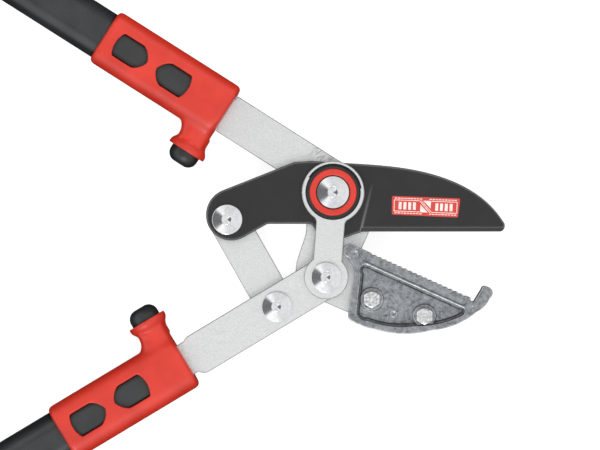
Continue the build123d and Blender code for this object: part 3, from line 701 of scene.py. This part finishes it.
def makeBolts():
    # turned heads: straight rim, shallow cone, and a nub with a hollow centre
    h = boltHead
    for name, b in bolts.items():
        low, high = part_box(b["node"])
        centre = (low + high) / 2
        bottom = low.z / mm
        top = high.z / mm
        tip = top - h["nubRise"]
        rim = tip - h["rise"]
        seat = rim - h["edge"]
        wide = b["head"]
        bm = turnedShape([
            (0, bottom), (b["shank"] - h["lead"], bottom), (b["shank"], bottom + h["lead"]),
            (b["shank"], seat), (wide, seat), (wide, rim - h["chamfer"]), (wide - 0.1, rim - 0.1),
            (wide - h["chamfer"], rim),
            (h["nub"] + 0.45, tip - 0.02), (h["nub"] + 0.3, tip - 0.1), (h["nub"] + 0.12, tip - 0.1),
            (h["nub"], top - 0.06), (h["nub"] - 0.08, top), (b["dimple"] + 0.1, top),
            (b["dimple"] - 0.1, top - 0.03), (0.12, top - h["hollow"] + 0.02), (0, top - h["hollow"])],
            h["steps"])
        bmesh.ops.scale(bm, vec=(mm, mm, mm), verts=bm.verts)
        bmesh.ops.translate(bm, vec=(centre.x, centre.y, 0), verts=bm.verts)
        creases = [e for e in bm.edges if e.calc_face_angle(0) > math.radians(4)
                   and abs(e.verts[0].co.z - e.verts[1].co.z) < 1e-7]
        for edge in creases:
            edge.smooth = False
        piece = newPiece(name + "TurnedBolt", bm)
        finishPiece(piece, makeTurnedSteel(name + "Turned", centre), "turned_steel", b["body"], b["node"])


makeBolts()
print("bolts made")


panel = {"centre": (60.1, -9.25), "turn": -2.3, "length": 43.6, "height": 11.6, "line": 0.42, "lift": 0.03,
         "ink": 0.05}


def panelShapes():
    # outlines in the panel's own millimetres: frames, a slanting stripe and plain bars
    half, rise, line = panel["length"] / 2, panel["height"] / 2, panel["line"]
    inner = rise - 2.4
    shapes = []

    def strip(x0, y0, x1, y1):
        shapes.append([(min(x0, x1), y0), (max(x0, x1), y0), (max(x0, x1), y1), (min(x0, x1), y1)])

    for side in (-1, 1):
        far = side * (half - 1.2)
        strip(side * 3.6, inner, far, inner + line)
        strip(side * 3.6, -inner - line, far, -inner)
        strip(far, -inner, far - side * line, inner)
        for number in range(4):
            start = side * (6.3 + number * 3.1)
            strip(start, -inner + 1.0, start + side * 1.9, inner - 1.0)
        for y in (rise - 1.0, 1.0 - rise):
            for number in range(9):
                start = side * (2.4 + number * (half - 3.6) / 9)
                strip(start, y - 0.28, start + side * 1.5, y + 0.28)
    for shift in (-0.9, 0.35):
        high, low = shift - 3.6, shift + 3.6
        shapes.append([(high, inner + line), (high + 0.55, inner + line), (low + 0.55, -inner - line),
                       (low, -inner - line)])
    shapes.append([(-3.4, -inner - line), (-3.4, 1.2), (1.6, -inner - line)])
    shapes.append([(3.4, inner + line), (-1.6, inner + line), (3.4, -1.2)])
    return shapes


def makePanelInk():
    # lays the white shapes on the blade's sloping face
    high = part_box("blade_label")[1]
    tree = BVHTree.FromObject(cadNodes["blade_label"], bpy.context.evaluated_depsgraph_get())
    turn = Matrix.Rotation(math.radians(panel["turn"]), 2)
    bm = bmesh.new()
    for outline in panelShapes():
        corners = []
        for x, y in outline:
            flat = (turn @ Vector((x, y)) + Vector(panel["centre"])) * mm
            hit = tree.ray_cast(Vector((*flat, high.z + 0.01)), Vector((0, 0, -1)))[0]
            corners.append(bm.verts.new(hit + Vector((0, 0, panel["lift"] * mm))))
        bm.faces.new(corners)
    for face in bm.faces:
        face.normal_update()
        if face.normal.z < 0:
            face.normal_flip()
    piece = newPiece("panelInk", bm)
    thick = piece.modifiers.new("ink", "SOLIDIFY")
    thick.thickness = panel["ink"] * mm
    thick.offset = -1
    applyModifiers(piece)
    finishPiece(piece, whiteInk, "blade_print", "blade")
    piece.data.shade_flat()


makePanelInk()
print("panel made")


view = {"aim": (-21.45 * mm, -21.2 * mm), "distance": 2.5, "width": 390 * mm, "plane": 17 * mm, "sensor": 36}


def makeCamera():
    camera = bpy.data.objects.new("camera", bpy.data.cameras.new("camera"))
    bpy.context.scene.collection.objects.link(camera)
    camera.location = (*view["aim"], view["distance"])
    camera.data.sensor_width = view["sensor"]
    camera.data.lens = view["sensor"] * (view["distance"] - view["plane"]) / view["width"]
    camera.data.clip_end = 100
    bpy.context.scene.camera = camera


tent = {"strength": 1.12, "flank": 0.84, "leftGlow": (0.15, 0.7, 0, 0.45), "rightGlow": (-0.9, -0.4, 0.10, 0),
        "horizon": (0.06, 0.34, 0.02, 1), "back": (0.5, 0.72, 1, 0.2), "gapSides": (0.70, 0.84, 0, 1),
        "gapInner": (0.10, 0.17, 0, 1), "gapOuter": (0.55, 0.75, 1, 0), "gapLight": 0.13}


def makeDome():
    # a white tent: dark low down and far over the back, with one dark gap high on the left
    world = bpy.data.worlds.new("tent")
    bpy.context.scene.world = world
    world.use_nodes = True
    way = addNode(world, "TexCoord").outputs["Generated"]
    axes = addNode(world, "SeparateXYZ", {"Vector": way}).outputs

    def step(source, span):
        inputs = dict(zip(("From Min", "From Max", "To Min", "To Max"), span), Value=source)
        return addNode(world, "MapRange", inputs, interpolation_type="SMOOTHSTEP").outputs["Result"]

    def times(first, second):
        return maths(world, "MULTIPLY", first, second)

    def squared(source):
        return maths(world, "POWER", maths(world, "ABSOLUTE", source, 0), 2)

    # how far a direction leans from straight up, and how much of that lean is to the left
    lean = maths(world, "SQRT", maths(world, "ADD", squared(axes["X"]), squared(axes["Y"])), 0)
    leftness = maths(world, "DIVIDE", times(axes["X"], -1), maths(world, "MAXIMUM", lean, 0.001))
    inner = step(lean, tent["gapInner"])
    outer = step(lean, tent["gapOuter"])
    inGap = times(step(leftness, tent["gapSides"]), times(inner, outer))
    glow = maths(world, "ADD", step(leftness, tent["leftGlow"]), step(leftness, tent["rightGlow"]))
    flank = maths(world, "ADD", tent["flank"], glow)
    light = times(times(flank, step(axes["Z"], tent["horizon"])), step(axes["Y"], tent["back"]))
    light = times(light, step(inGap, (0, 1, 1, tent["gapLight"])))
    background = world.node_tree.nodes["Background"]
    join(world, times(light, tent["strength"]), background.inputs["Strength"])
    background.inputs["Color"].default_value = (1, 1, 1, 1)


ground = {"size": 60, "tone": (0.34, 0.34, 0.34), "glow": 0.86}


def makeFloor():
    # a glowing white floor that only the camera sees, so that edges keep their dark outlines
    bm = bmesh.new()
    bmesh.ops.create_grid(bm, x_segments=2, y_segments=2, size=ground["size"])
    floor = newPiece("floor", bm)
    paint = newFinish("floorPaint", Roughness=0.8, Specular_IOR_Level=0.0, Emission_Strength=ground["glow"])
    setShader(paint, **{"Base Color": ground["tone"], "Emission Color": (1.0, 1.0, 1.0)})
    dress(floor, paint)
    floor.visible_glossy = False
    floor.visible_diffuse = False


lamps = {"key": {"place": (-0.3, -1.5, 1.6), "size": 0.8, "power": 16, "shiny": True},
         "fill": {"place": (0.6, 1.5, 1.1), "size": 1.4, "power": 22, "shiny": False}}


def makeLamps():
    # two soft lamps aimed at the pivots; the fill lamp leaves no reflection
    for name, l in lamps.items():
        lamp = bpy.data.objects.new(name, bpy.data.lights.new(name, "AREA"))
        bpy.context.scene.collection.objects.link(lamp)
        lamp.location = l["place"]
        lamp.rotation_euler = (-Vector(l["place"])).to_track_quat("-Z", "Y").to_euler()
        lamp.data.size = l["size"]
        lamp.data.energy = l["power"]
        lamp.visible_camera = False
        lamp.visible_glossy = l["shiny"]


makeCamera()
makeDome()
makeFloor()
makeLamps()
bpy.context.scene.view_settings.view_transform = "Standard"
print("studio made")
